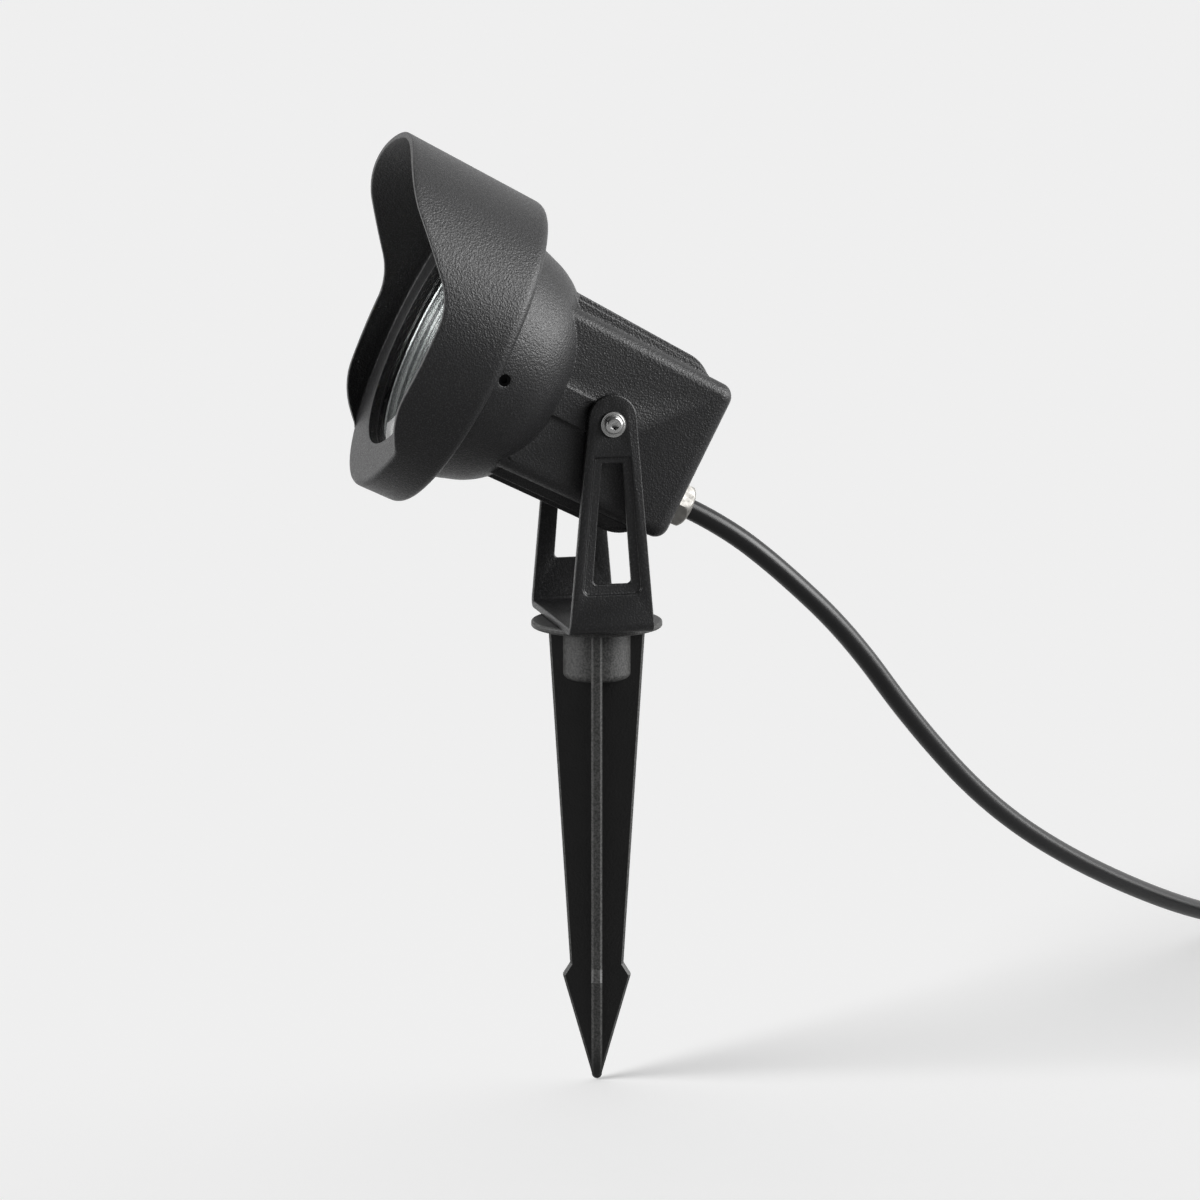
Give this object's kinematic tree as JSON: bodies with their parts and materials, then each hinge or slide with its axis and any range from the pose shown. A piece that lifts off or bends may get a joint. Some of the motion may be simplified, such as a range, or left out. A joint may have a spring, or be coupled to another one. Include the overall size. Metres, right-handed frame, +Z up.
{
  "type": "garden spike spotlight",
  "caption": "Outdoor spotlight with a hooded, finned head that tilts in a windowed yoke bracket on a barbed ground spike, with a mains lead, coil and plug.",
  "frame": {"origin": "on the spike's axis at the underside of its flange, where it rests on the ground", "axes": "+Z up out of the ground along the spike's axis, the lamp faces -Y, the tilt axis is along X, and the lead leaves towards +Y"},
  "size_m": [0.2394, 0.5286, 0.352],
  "materials": {
    "spike_plastic": "satin black moulded",
    "brass": "turned",
    "stainless": "bright stainless",
    "blackened_steel": "black oxide",
    "bracket_coat": "smooth satin black powder coat",
    "cast_coat": "die cast, charcoal black textured powder coat",
    "rubber": "matt black",
    "lead_rubber": "smooth black",
    "glass": "clear toughened",
    "collar_black": "turned, black anodised",
    "mirror_bright": "bright anodised",
    "bare_aluminium": "machined",
    "thermal": "soft grey",
    "board_white": "white solder mask",
    "phosphor": "yellow phosphor",
    "holder_white": "white moulded",
    "driver_black": "black moulded",
    "board_green": "green board",
    "terminal_cream": "cream moulded",
    "wire_brown": "brown insulation",
    "wire_blue": "blue insulation",
    "wire_green": "green and yellow insulation",
    "wire_red": "red insulation",
    "wire_black": "black insulation",
    "tin": "tinned",
    "nickel": "nickel plated brass"
  },
  "bodies": {
    "spike": {"ground_spike": "spike_plastic", "spike_insert": "brass", "swivel_bolt": "stainless", "swivel_spring_washer": "stainless", "swivel_washer": "stainless"},
    "bracket": {"yoke_bracket": "bracket_coat", "cable": "lead_rubber", "cable_coil": "lead_rubber", "plug_boot": "lead_rubber", "plug_body": "lead_rubber", "plug_pins": "brass", "plug_earth_clips": "tin"},
    "lamp_head": {"housing": "cast_coat", "hood_collar": "collar_black", "hood": "cast_coat", "hood_seal": "rubber", "hood_set_screws": "blackened_steel", "pivot_screws": "stainless", "pivot_washers": "stainless", "lens_gasket": "rubber", "lens_glass": "glass", "reflector": "mirror_bright", "led_plate": "bare_aluminium", "led_plate_screws": "stainless", "thermal_pad": "thermal", "led_board": "board_white", "led_emitter": "phosphor", "led_holder": "holder_white", "led_holder_screws": "stainless", "driver_case": "driver_black", "driver_lid": "driver_black", "driver_standoffs": "bare_aluminium", "driver_board": "board_green", "terminal_block": "terminal_cream", "live_wire": "wire_brown", "neutral_wire": "wire_blue", "earth_wire": "wire_green", "led_lead_plus": "wire_red", "led_lead_minus": "wire_black", "earth_lug": "tin", "earth_screw": "stainless", "terminal_screws": "stainless", "gland_oring": "rubber", "gland_body": "nickel", "gland_nut": "nickel", "gland_seal": "rubber", "gland_locknut": "nickel", "cable_end": "lead_rubber"}
  },
  "joints": [
    {"name": "bracket_swivel", "type": "hinge", "parent": "spike", "child": "bracket", "pos_m": [0, 0, 0.0024], "axis": [0, 0, 1], "range_deg": [-170, 170]},
    {"name": "head_tilt", "type": "hinge", "parent": "bracket", "child": "lamp_head", "pos_m": [0, -0.0019, 0.0781], "axis": [-1, 0, 0], "range_deg": [-42, 53], "deforming": ["cable"]}
  ]
}
